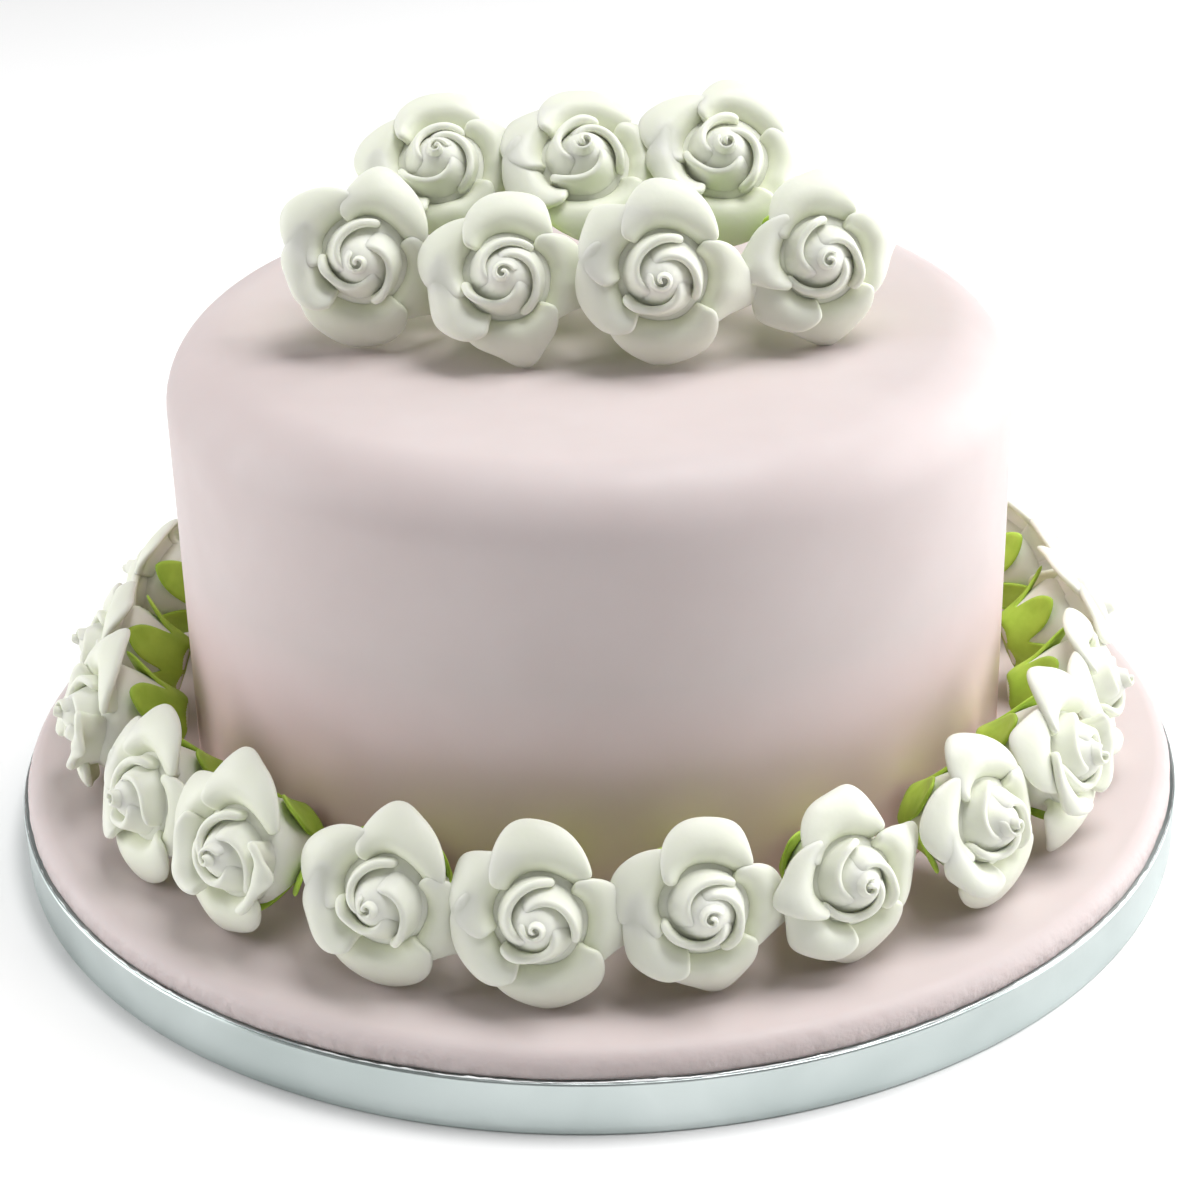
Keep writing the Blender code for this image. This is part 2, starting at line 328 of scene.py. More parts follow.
# %% [markdown]
# ### Rose white and leaf green
# The roses are modelled from white paste. Their hollows are painted darker and a little green,
# as painted shade and as painted light that comes green from the calyx behind and bounces inside
# the flower. We store how deep a point lies in its flower as an attribute of the mesh, and the
# material mixes the white with a darker, greener white, the painted shade, by it.

# %% Make the rose and calyx materials
ROSE_WHITE = (0.82, 0.835, 0.74, 1.0)
ROSE_CLOUD = (0.79, 0.815, 0.68, 1.0)
# painted shade and painted green bounce light for the hollows of a rose
ROSE_PAINTED_HOLLOW_SHADE = (0.69, 0.74, 0.48, 1.0)
HOLLOW = "hollow"
LEAF_LIGHT = (0.50, 0.71, 0.09, 1.0)
LEAF_DEEP = (0.38, 0.58, 0.06, 1.0)


def rose_paste():
    material, shader, place = start_material("rose_white", 0.45, specular=0.4)
    depth = material.node_tree.nodes.new("ShaderNodeAttribute")
    depth.attribute_name = HOLLOW
    # painted shade: the deeper a point lies in its flower, the darker and greener its white
    colour = add_mix(material, depth.outputs["Fac"], ROSE_WHITE, ROSE_PAINTED_HOLLOW_SHADE)
    clouds = add_range(material, add_noise(material, place, 110.0), 0.4, 0.8, 0.0, 0.35)
    colour = add_mix(material, clouds, colour, ROSE_CLOUD)
    connect(material, colour, "Base Color")
    sheen = add_noise(material, place, 150.0, detail=2.0)
    connect(material, add_range(material, sheen, 0.3, 0.7, 0.36, 0.55), "Roughness")
    shader.inputs["Subsurface Weight"].default_value = 0.2
    shader.inputs["Subsurface Radius"].default_value = (0.9, 1.0, 0.6)
    shader.inputs["Subsurface Scale"].default_value = 0.002
    marks = add_noise(material, place, 260.0, detail=2.0)
    grain = add_noise(material, place, 1500.0, detail=2.0)
    add_bump(material, (marks, 0.25, 0.0005), (grain, 0.1, 0.00006))
    return material


def leaf_paste():
    material, shader, place = start_material("calyx_green", 0.5, specular=0.35)
    clouds = add_range(material, add_noise(material, place, 130.0), 0.35, 0.65, 0.0, 1.0)
    colour = add_mix(material, clouds, LEAF_LIGHT, LEAF_DEEP)
    connect(material, colour, "Base Color")
    sheen = add_noise(material, place, 200.0, detail=2.0)
    connect(material, add_range(material, sheen, 0.3, 0.7, 0.42, 0.6), "Roughness")
    shader.inputs["Subsurface Weight"].default_value = 0.08
    shader.inputs["Subsurface Radius"].default_value = (0.4, 0.8, 0.1)
    shader.inputs["Subsurface Scale"].default_value = 0.002
    add_bump(material, (add_noise(material, place, 500.0, detail=3.0), 0.25, 0.0003))
    return material


# %% [markdown]
# ### Silver foil
# Foil on a cake drum is bright but soft. It is glued over card, so it has faint dents, and its
# sheen changes a little from place to place. A metallic shader with an uneven roughness and a low
# bump gives that. The torn lip at its top edge is the same foil with sharper creases.

# %% Make the foil materials and paint all of them
DRUM_DULL, DRUM_BRIGHT = (0.48, 0.54, 0.53, 1.0), (0.60, 0.66, 0.65, 1.0)
LIP_DULL, LIP_BRIGHT = (0.85, 0.88, 0.88, 1.0), (0.95, 0.97, 0.97, 1.0)
CUT_FROM = 0.3 * MM


def foil(name, dull, bright, low, high, dents):
    """Metal between two colours and two roughnesses, low and high, with dents of a given depth."""
    material, shader, place = start_material(name, low, metallic=1.0)
    patches = add_noise(material, place, 28.0, detail=2.0, distortion=0.4)
    colour = add_mix(material, add_range(material, patches, 0.35, 0.65, 0.0, 1.0), dull, bright)
    connect(material, colour, "Base Color")
    connect(material, add_range(material, patches, 0.3, 0.7, low, high), "Roughness")
    dent = add_noise(material, place, 160.0, detail=3.0)
    grain = add_noise(material, place, 1800.0, detail=2.0)
    add_bump(material, (dent, 0.3, dents), (grain, 0.1, 0.00005))
    return material


BOARD_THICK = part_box("board_foil")[1].z
BOARD_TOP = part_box("board_icing")[1].z
cake_paste = pink_paste("cake_pink", painted_bounce_from=BOARD_TOP + PAINTED_BOUNCE_RISE)
board_paste = pink_paste("board_pink", rough_below=BOARD_THICK, rough_above=BOARD_TOP - CUT_FROM)
white_paste = rose_paste()
green_paste = leaf_paste()
drum_foil = foil("drum_foil", DRUM_DULL, DRUM_BRIGHT, 0.28, 0.42, 0.4 * MM)
lip_foil = foil("lip_foil", LIP_DULL, LIP_BRIGHT, 0.25, 0.5, 0.9 * MM)
print("six materials; board", round(BOARD_THICK / MM, 1), "mm and",
      round((BOARD_TOP - BOARD_THICK) / MM, 1), "mm of paste")

# %% [markdown]
# ## The covered cake
# The cake is a cylinder whose top edge turns over in one soft round, because a thick sheet of
# paste has been laid over it. We add a cylinder of the node's size and bevel its top edge by the
# round. Then we inset the top face in rings, so that it has enough faces to take a shape, and let
# a low noise press the wall and the top in by a fraction of a millimetre, as hands do.

# %% Model the covered cake
CAKE_ROUND = 15.5 * MM
CAKE_SIDES = 160
CAKE_ROUND_STEPS = 14
CAKE_WALL_CUTS = 18
CAKE_TOP_RINGS = 12
CAKE_DENT = 0.5 * MM
# how many soft dents there are in a metre
CAKE_TOP_DENTS, CAKE_WALL_DENTS = 18.0, 16.0
UP = 0.9999
UPRIGHT = 0.99
MIDDLE = 0.1


def round_slab(name, box, sides, edge_round, steps, wall_cuts, top_rings):
    """A cylinder that fills a node's box, with a rounded top edge and faces enough for relief."""
    low, high = box
    radius = (high.x - low.x) / 2
    deselect()
    bpy.ops.mesh.primitive_cylinder_add(vertices=sides, radius=radius, depth=high.z - low.z,
                                        location=(0, 0, (low.z + high.z) / 2))
    slab = added(name)
    bpy.ops.object.transform_apply(location=True, rotation=True, scale=True)
    bpy.ops.object.mode_set(mode="EDIT")
    select_where(slab, "EDGE", lambda centre, direction: centre.z > high.z - 0.01 * MM)
    bpy.ops.mesh.bevel(offset=edge_round, segments=steps, profile=0.5)
    select_where(slab, "EDGE", lambda centre, direction: abs(direction.z) > UPRIGHT
                 and centre.z < high.z - edge_round)
    bpy.ops.mesh.subdivide(number_cuts=wall_cuts)
    select_where(slab, "FACE", lambda centre, direction: direction.z > UP
                 and centre.xy.length < MIDDLE * radius)
    for ring in range(top_rings):
        bpy.ops.mesh.inset(thickness=(radius - edge_round) * 0.9 / top_rings)
    bpy.ops.mesh.poke()
    bpy.ops.object.mode_set(mode="OBJECT")
    return slab


def select_where(thing, kind, test):
    """Selects the faces or edges whose middle and direction pass a test, in edit mode."""
    bpy.ops.mesh.select_mode(type=kind)
    bpy.ops.mesh.select_all(action="DESELECT")
    mesh = bmesh.from_edit_mesh(thing.data)
    mesh.normal_update()
    if kind == "FACE":
        for face in mesh.faces:
            face.select_set(test(face.calc_center_median(), face.normal))
    else:
        for edge in mesh.edges:
            ends = edge.verts[0].co, edge.verts[1].co
            edge.select_set(test((ends[0] + ends[1]) / 2, (ends[1] - ends[0]).normalized()))
    mesh.select_flush_mode()
    bmesh.update_edit_mesh(thing.data)


def pressed_in(co, amount, coarse, seed):
    """Moves a point towards the cake's axis by a smooth noise between 0 and amount."""
    share = 0.5 + 0.5 * noise.noise(co * coarse + Vector((seed, 0.0, 0.0)))
    outward = Vector((co.x, co.y, 0.0))
    if outward.length > 1e-6:
        co -= outward.normalized() * min(amount * share, outward.length)
    return co


cake_low, cake_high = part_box("cake")
CAKE_RADIUS = (cake_high.x - cake_low.x) / 2
cake = round_slab("covered_cake", (cake_low, cake_high), CAKE_SIDES, CAKE_ROUND,
                  CAKE_ROUND_STEPS, CAKE_WALL_CUTS, CAKE_TOP_RINGS)


def smoothed_by_hand(co):
    """Presses the wall in, and the top and its round down."""
    press = 0.5 + 0.5 * noise.noise(co * CAKE_TOP_DENTS)
    co = pressed_in(co, CAKE_DENT, CAKE_WALL_DENTS, 3.0)
    if co.z > cake_high.z - CAKE_ROUND:
        co.z -= CAKE_DENT * press
    return co


reshape(cake, smoothed_by_hand)
cake.data.materials.append(cake_paste)
smoothed(cake)
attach(cake, "root")
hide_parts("cake")
print("covered cake", triangles(cake), "triangles, radius", round(CAKE_RADIUS / MM, 1), "mm")

# %% [markdown]
# ## The board's sheet of paste
# The same kind of slab, far lower, makes the sheet on the board. Its top edge is rounded where
# the paste was smoothed over, and its side was trimmed with a knife, so it is slightly ragged. A
# finer noise near the side gives that, and always inwards, so the board keeps its size.

# %% Model the board's sheet of paste
SHEET_ROUND = 4.6 * MM
SHEET_SIDES = 300
SHEET_ROUND_STEPS = 8
SHEET_WALL_CUTS = 2
SHEET_TOP_RINGS = 8
RAGGED = 0.35 * MM
RAGGED_WIDTH = 6.0 * MM
RAGGED_FINE, RAGGED_COARSE = 330.0, 60.0

sheet_low, sheet_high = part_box("board_icing")
SHEET_RADIUS = (sheet_high.x - sheet_low.x) / 2
sheet = round_slab("board_sheet", (sheet_low, sheet_high), SHEET_SIDES, SHEET_ROUND,
                   SHEET_ROUND_STEPS, SHEET_WALL_CUTS, SHEET_TOP_RINGS)


def trimmed_edge(co):
    """Makes the side ragged, and leaves the middle of the sheet flat."""
    near_side = max(0.0, (co.xy.length - SHEET_RADIUS + RAGGED_WIDTH) / RAGGED_WIDTH)
    co = pressed_in(co, RAGGED * near_side, RAGGED_FINE, 7.0)
    return pressed_in(co, RAGGED * near_side, RAGGED_COARSE, 9.0)


reshape(sheet, trimmed_edge)
sheet.data.materials.append(board_paste)
smoothed(sheet)
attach(sheet, "root")
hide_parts("board_icing")
print("board sheet", triangles(sheet), "triangles")

# %% [markdown]
# ## The foil drum and its torn lip
# The drum is thick card wrapped in foil. The wrap is taut, so the side is nearly smooth, with
# shallow dents and slightly rounded rims. Where the paste meets it the foil's cut edge stands up
# as a thin bright line that is torn here and there, which we model as a real thin strip.

# %% Model the drum
DRUM_SIDES = 300
DRUM_EDGE = 0.6 * MM
DRUM_EDGE_STEPS = 3
DRUM_SIDE_CUTS = 7
DRUM_RINGS = 3
DRUM_RING_SHARE = 0.3
DRUM_DENT = 0.22 * MM
DRUM_DENTS = 45.0
DRUM_RIM = 2.0 * MM

drum_low, drum_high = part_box("board_foil")
DRUM_RADIUS = (drum_high.x - drum_low.x) / 2
deselect()
bpy.ops.mesh.primitive_cylinder_add(vertices=DRUM_SIDES, radius=DRUM_RADIUS, depth=BOARD_THICK,
                                    location=(0, 0, BOARD_THICK / 2))
drum = added("foil_drum")
bpy.ops.object.transform_apply(location=True, rotation=True, scale=True)
bpy.ops.object.mode_set(mode="EDIT")
select_where(drum, "EDGE", lambda centre, direction: abs(direction.z) < 0.01)
bpy.ops.mesh.bevel(offset=DRUM_EDGE, segments=DRUM_EDGE_STEPS, profile=0.5)
select_where(drum, "EDGE", lambda centre, direction: abs(direction.z) > UPRIGHT)
bpy.ops.mesh.subdivide(number_cuts=DRUM_SIDE_CUTS)
for side in (-1, 1):
    select_where(drum, "FACE", lambda centre, direction: direction.z * side > UP
                 and centre.xy.length < MIDDLE * DRUM_RADIUS)
    for ring in range(DRUM_RINGS):
        bpy.ops.mesh.inset(thickness=DRUM_RADIUS * DRUM_RING_SHARE)
    bpy.ops.mesh.poke()
bpy.ops.object.mode_set(mode="OBJECT")


def taut_foil(co):
    """Dents the side a little; the rims keep their place."""
    share = min(1.0, min(co.z, BOARD_THICK - co.z) / DRUM_RIM)
    return pressed_in(co, DRUM_DENT * share, DRUM_DENTS, 1.0)


reshape(drum, taut_foil)
drum.data.materials.append(drum_foil)
smoothed(drum, 40)
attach(drum, "root")
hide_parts("board_foil")
print("drum", triangles(drum), "triangles")

# %% Model the torn lip
LIP_POINTS = 720
LIP_STEPS = 2
LIP_RISE = 0.9 * MM
LIP_SINK = 0.1 * MM
LIP_LEAN = 0.12 * MM
LIP_FLUTTER = 0.3 * MM
LIP_THICK = 0.12 * MM
# how many tears, fine nicks and folds there are in a metre
LIP_TEARS, LIP_NICKS, LIP_FOLDS = 90.0, 700.0, 350.0

deselect()
bpy.ops.mesh.primitive_circle_add(vertices=LIP_POINTS, radius=DRUM_RADIUS - DRUM_EDGE,
                                  location=(0, 0, BOARD_THICK - LIP_SINK))
lip = added("foil_lip")
bpy.ops.object.transform_apply(location=True, rotation=True, scale=True)
bpy.ops.object.mode_set(mode="EDIT")
bpy.ops.mesh.select_all(action="SELECT")
for step in range(LIP_STEPS):
    bpy.ops.mesh.extrude_edges_move(TRANSFORM_OT_translate={"value": (0, 0, LIP_RISE / LIP_STEPS)})
bpy.ops.object.mode_set(mode="OBJECT")


def torn(co):
    """Gives the lip an uneven height and lets it lean and flutter outwards."""
    share = max(0.0, (co.z - BOARD_THICK) / LIP_RISE)
    coarse = 0.5 + 0.5 * noise.noise(Vector((co.x, co.y, 0.0)) * LIP_TEARS)
    fine = noise.noise(Vector((co.x, co.y, 1.0)) * LIP_NICKS)
    co.z = BOARD_THICK - LIP_SINK + share * LIP_RISE * (0.25 + 0.75 * coarse + 0.35 * fine)
    outward = Vector((co.x, co.y, 0.0)).normalized()
    folds = noise.noise(Vector((co.x, co.y, share * 0.01)) * LIP_FOLDS)
    return co + outward * share * (LIP_LEAN + LIP_FLUTTER * folds)


reshape(lip, torn)
wall = lip.modifiers.new("wall", "SOLIDIFY")
wall.thickness = LIP_THICK
wall.offset = 0.0
apply_modifiers(lip)
lip.data.materials.append(lip_foil)
smoothed(lip, 60)
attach(lip, "root")
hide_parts("board_foil")
print("lip", triangles(lip), "triangles")

# %% [markdown]
# ## One petal of a sugar rose
# A petal is rolled paste, thick at its rounded rim. It grows out of the flower's cone, rises,
# opens and rolls back at its tip. We start from a grid, where x runs across the petal and y from
# its root to its tip, and bend that grid round the flower's axis along a Bezier curve with four
# points. One side of the petal lies under its neighbour, and stands out and hangs down a little.
# The other side laps over the next neighbour, and is lifted and drawn towards the heart. That
# makes all the petals turn the same way, as the photograph has it. Solidify then gives the paste
# its thickness and Subdivision Surface rounds the rim.

# %% The petal's middle line and its sheet
# points of the middle line: distance from the flower's axis and height above its underside
PETAL_ROOT = (7.2 * MM, 5.0 * MM)
PETAL_WAIST = (9.5 * MM, 17.0 * MM)
PETAL_BELLY = (8.8 * MM, 25.8 * MM)
PETAL_TIP = (18.2 * MM, 25.0 * MM)
# the side that lies under stands out and hangs down by this; the side that laps over is lifted
UNDER_OUT, UNDER_DOWN = 0.9 * MM, 1.7 * MM
OVER_UP = 1.1 * MM
# lengths as shares of the middle line: the whole, and how much shorter the two sides are
PETAL_REACH, UNDER_SHORT, OVER_SHORT = 1.04, 0.20, 0.17
# a pointed tip: its width across the petal, what it adds in length, and how far it rises
POINT_WIDTH, POINT_REACH, POINT_TRIM, POINT_RISE = 0.22, 0.15, 0.04, 1.3 * MM
RIM_RISE = 0.5 * MM
RIM_ROLL = 2.4 * MM
ROLL_FROM = 0.72
WAVE_OUT, WAVE_UP = 0.9 * MM, 0.8 * MM
ROOT_WIDTH, ADDED_WIDTH = 0.85, 0.27
PETAL_THICK = 2.1 * MM
ROOT_SHARE = 0.5
PETAL_CELLS = (12, 7)
THIN_ROOT = 0.3


def bezier(along, points):
    back = 1 - along
    weights = (back ** 3, 3 * along * back ** 2, 3 * along ** 2 * back, along ** 3)
    return (sum(weight * point[0] for weight, point in zip(weights, points)),
            sum(weight * point[1] for weight, point in zip(weights, points)))


def new_sheet(name, cells, rule, thickness, root_share=1.0, fade=0.0):
    """A grid bent by a rule of (across, along), then thickened and rounded. It thins towards its
    root, where root_share is the least it keeps, and by fade at the end where across is 1."""
    deselect()
    bpy.ops.mesh.primitive_grid_add(x_subdivisions=cells[0], y_subdivisions=cells[1], size=2.0)
    made = added(name)
    thick = made.vertex_groups.new(name="thick")
    for vertex in made.data.vertices:
        across, along = vertex.co.x, (vertex.co.y + 1) / 2
        share = min(1.0, THIN_ROOT + along) * (1 - fade * max(0.0, across) ** 1.5)
        thick.add([vertex.index], share, "REPLACE")
        vertex.co = rule(across, along)
    made.data.update()
    wall = made.modifiers.new("wall", "SOLIDIFY")
    wall.thickness = thickness
    wall.offset = 0.0
    wall.vertex_group = "thick"
    wall.thickness_vertex_group = root_share
    rounding = made.modifiers.new("rounding", "SUBSURF")
    rounding.levels = rounding.render_levels = 2
    apply_modifiers(made)
    return made


def outer_petal(place, half_width, stretch, curl, peak, point, drawn_in):
    """One opened petal. peak is where its tip lies across it, point how sharp the tip is, and
    drawn_in how far the side that laps over the next petal is drawn towards the heart."""
    end = (PETAL_TIP[0] * stretch, PETAL_TIP[1] - curl)
    middle_line = (PETAL_ROOT, PETAL_WAIST, PETAL_BELLY, end)

    def rule(across, along):
        over, under = max(0.0, across), max(0.0, -across)
        at_point = math.exp(-((across - peak) / POINT_WIDTH) ** 2)
        reach = PETAL_REACH - UNDER_SHORT * under ** 2.2 - OVER_SHORT * over ** 2.6
        reach += point * (POINT_REACH * at_point - POINT_TRIM)
        share = along * reach
        radius, height = bezier(share, middle_line)
        radius += (UNDER_OUT * under - drawn_in * over ** 2.4) * share
        height += (OVER_UP * over ** 2 - UNDER_DOWN * under ** 2) * share
        height += point * (at_point - 0.6) * POINT_RISE * share ** 4
        rolled = max(0.0, (share - ROLL_FROM) / (1 - ROLL_FROM))
        height += RIM_RISE * share ** 2 - RIM_ROLL * rolled ** 2
        radius += WAVE_OUT * math.sin(3.1 * across + 5.0 * place) * share ** 3
        height += WAVE_UP * math.sin(2.7 * across + 7.0 * place) * share ** 3
        turn = place + across * half_width * (ROOT_WIDTH + ADDED_WIDTH * share)
        return Vector((radius * math.cos(turn), radius * math.sin(turn), height))

    return new_sheet("petal", PETAL_CELLS, rule, PETAL_THICK, ROOT_SHARE)


# %% [markdown]
# ## The heart of the rose
# Inside, three petals wrap into a low cone. Each starts beside the small curl in the middle and
# winds outwards and down to a pointed end, so that from the front their thick rims make a spiral
# with broad smooth slopes between them. One rule makes them all: a wall that leans in from its
# foot to its rim, and whose rim comes nearer to the axis and climbs towards its inner end. There
# it also thins, so that it melts into the bud as pressed paste does.

# %% The curl and the wrapped petals
CURL_TURNS = 1.35
CURL_RADII = (0.15 * MM, 2.3 * MM)
CURL_TOP = 31.0 * MM
CURL_DROP = 1.5 * MM
CURL_FOOT = 25.5 * MM
CURL_FLARE = 0.9
CURL_ENDS_SHORT = 0.16
CURL_THICK = 1.0 * MM
CURL_CELLS = (14, 3)
# the foot of the wrapped petals: distance from the axis and height
WRAP_FOOT = (8.6 * MM, 17.0 * MM)
FREE_SHORT, TUCKED_SHORT = 0.20, 0.06
# a small point near the free end: where it lies across, its width and its length
WRAP_POINT_AT, WRAP_POINT_WIDTH, WRAP_POINT_REACH = -0.7, 0.2, 0.08
WRAP_LIP = 0.5 * MM
WRAP_PEEL = 2.6 * MM
WRAP_SINK = 0.9 * MM
WRAP_FADE = 0.85
WRAP_THICK = 1.9 * MM
WRAP_CELLS = (12, 5)


def middle_curl(turned):
    """A narrow strip rolled up from its inner end, which stands highest."""
    def rule(across, along):
        share = (across + 1) / 2
        radius = CURL_RADII[0] + (CURL_RADII[1] - CURL_RADII[0]) * share
        top = CURL_TOP - CURL_DROP * share ** 1.4
        height = CURL_FOOT + (top - CURL_FOOT) * along * (1 - CURL_ENDS_SHORT * abs(across) ** 6)
        radius *= 1.0 + CURL_FLARE * (1 - along) ** 1.3
        turn = turned - share * CURL_TURNS * math.tau
        return Vector((radius * math.cos(turn), radius * math.sin(turn), height))

    return new_sheet("curl", CURL_CELLS, rule, CURL_THICK)


def wrapped_petal(place, half_width, inner, free, point):
    """One petal of the heart. inner and free are its rim's (radius, height) at its two ends, and
    point says how sharply the free end is pointed and peeled off."""
    def rule(across, along):
        outwards, loose, tucked = (1 - across) / 2, max(0.0, -across), max(0.0, across)
        rim_radius = inner[0] + (free[0] - inner[0]) * outwards
        rim_height = inner[1] + (free[1] - inner[1]) * outwards
        at_point = math.exp(-((across - WRAP_POINT_AT) / WRAP_POINT_WIDTH) ** 2)
        reach = 1 - FREE_SHORT * loose ** 5 - TUCKED_SHORT * tucked ** 3
        reach += WRAP_POINT_REACH * point * at_point
        share = along * reach
        radius = WRAP_FOOT[0] + (rim_radius - WRAP_FOOT[0]) * share ** 1.6
        height = WRAP_FOOT[1] + (rim_height - WRAP_FOOT[1]) * share
        radius += WRAP_LIP * share ** 8 * (1 - tucked) + WRAP_PEEL * point * loose ** 3 * share ** 4
        radius -= WRAP_SINK * tucked ** 3
        height -= WRAP_SINK * tucked ** 3
        turn = place + across * half_width
        return Vector((radius * math.cos(turn), radius * math.sin(turn), height))

    return new_sheet("wrap", WRAP_CELLS, rule, WRAP_THICK, fade=WRAP_FADE)


# %% [markdown]
# ## The cone under the petals
# All petals grow out of a cone of paste that stands in the calyx. We start from a filled circle
# and extrude it upwards ring by ring, each resized to the cone's radius at its height. It widens
# to the petals and then narrows inside the heart, so that the hollows between the petals have a
# bottom a few millimetres down, as in soft paste that has been pressed together.

# %% The cone
# radius and height of each ring in millimetres, from the stalk's end up to the bud
CONE_RINGS = ((5.6, 1.3), (6.4, 1.6), (6.9, 2.6), (8.4, 6.4), (9.8, 10.4), (10.9, 13.6),
              (11.7, 16.6), (11.2, 18.4), (10.3, 20.0), (9.4, 21.0), (8.5, 21.6), (7.5, 22.1),
              (6.5, 23.0), (5.4, 24.7), (4.6, 25.8), (3.8, 26.9), (2.9, 27.8), (1.6, 28.5),
              (0.5, 28.8))
CONE_SIDES = 36


def cone():
    deselect()
    bpy.ops.mesh.primitive_circle_add(vertices=CONE_SIDES, radius=CONE_RINGS[0][0] * MM,
                                      fill_type="NGON", location=(0, 0, CONE_RINGS[0][1] * MM))
    made = added("cone")
    bpy.ops.object.transform_apply(location=True, rotation=True, scale=True)
    bpy.ops.object.mode_set(mode="EDIT")
    bpy.ops.mesh.select_all(action="SELECT")
    for (radius, height), (next_radius, next_height) in zip(CONE_RINGS, CONE_RINGS[1:]):
        step_up = (0, 0, (next_height - height) * MM)
        bpy.ops.mesh.extrude_region_move(TRANSFORM_OT_translate={"value": step_up})
        bpy.ops.transform.resize(value=(next_radius / radius, next_radius / radius, 1.0),
                                 center_override=(0, 0, next_height * MM))
    bpy.ops.mesh.select_all(action="SELECT")
    bpy.ops.mesh.normals_make_consistent(inside=False)
    bpy.ops.object.mode_set(mode="OBJECT")
    return made


# %% [markdown]
# ## Whole roses
# No two hand-made roses are alike, so we model five and copy them. One petal hangs down, one
# stands at the top and the others lie at the sides. Two seeded draws shift, stretch and curl them
# a little, one for the whole flower and one for its details. Each kind also has its own tips: some
# petals end in a point and some are round, as in the photograph, and a few stand half closed. At
# last we store for each point how deep it lies inside the flower, for the painted shade, a darker
# and greener white, in its hollows.

# %% Build the five kinds of rose
HEART_PETALS = 3
ROSE_SIZES = (1.0, 0.98, 1.01, 0.97, 1.04)
DETAIL_SEED = 40
TWISTS = (0.3, 0.8)
PLACE_SHIFT = 6.0
STRETCH_SHIFT = 0.02
CURL_MORE, CURL_SHIFT = 1.0, 0.8
DRAWN_IN = (1.2, 3.6)
POINT_BELOW = 0.13
# the heart's petals: ends of the rim in millimetres, half width in degrees, how pointed
HEART_SHIFT = 0.25
INNER_RADII, INNER_HEIGHT = (2.6, 3.2), 28.3 * MM
FREE_RADII, FREE_HEIGHTS = (7.6, 8.8), (24.8, 26.0)
HEART_WIDTHS = (72.0, 92.0)
HEART_POINTS = (0.3, 1.0)
# the painted shade of the hollows: it begins below the rims and is deepest this far down
RIM_HEIGHT = 25.0 * MM
HOLLOW_DEPTH = 9.0 * MM
BUD_RADIUS = 10.0 * MM
BUD_SLOPE = 0.25
# angle round the axis (-90 is down), half width in degrees, stretch of the tip, roll of the tip
PETAL_PLACES = (
    (-90.0, 50.0, 1.08, 4.5 * MM),
    (-6.0, 46.0, 0.99, 4.0 * MM),
    (84.0, 48.0, 0.99, 3.3 * MM),
    (152.0, 43.0, 1.00, 2.4 * MM),
    (205.0, 44.0, 0.98, 0.5 * MM),
)
# petals that stand half closed, by kind and petal: stretch and roll of the tip
HALF_CLOSED = {
    (4, 1): (0.74, -4.2 * MM),
    (4, 4): (0.80, -3.6 * MM),
    (0, 4): (0.93, -1.5 * MM),
    (3, 3): (0.92, -1.0 * MM),
}
# for each kind and petal: where the tip lies across the petal, and how pointed it is
PETAL_TIPS = (
    ((0.0, 0.2), (-0.2, 1.1), (0.3, 0.3), (0.1, 0.2), (-0.2, 0.4)),
    ((0.1, 0.9), (-0.2, 1.4), (-0.5, 0.4), (0.0, 0.1), (0.1, 0.3)),
    ((-0.1, 0.3), (-0.1, 1.5), (0.3, 0.2), (-0.2, 0.5), (0.0, 0.2)),
    ((0.0, 0.7), (0.2, 1.3), (-0.4, 0.6), (0.3, 0.8), (0.0, 0.5)),
    ((-0.2, 0.6), (0.2, 1.2), (0.3, 0.5), (-0.1, 0.4), (0.2, 0.7)),
)


def between(low, value, high):
    return min(high, max(low, value))


def mark_hollows(rose):
    """Stores how deep each point lies inside the flower, from 0 outside to 1 in a deep hollow,
    as the mask of the painted shade in the hollows.
    """
    hollow = rose.data.attributes.new(HOLLOW, "FLOAT", "POINT")
    for vertex in rose.data.vertices:
        co, normal = vertex.co, vertex.normal
        outward = Vector((co.x, co.y, 0.0)).normalized()
        inner_side = 0.6 - normal.dot(outward) + max(0.0, normal.z) * 0.3
        rim = RIM_HEIGHT + BUD_SLOPE * max(0.0, BUD_RADIUS - co.xy.length)
        below_rim = (rim - co.z) / HOLLOW_DEPTH
        depth = between(0.0, below_rim, 1.0) * between(0.0, inner_side, 1.0)
        hollow.data[vertex.index].value = depth


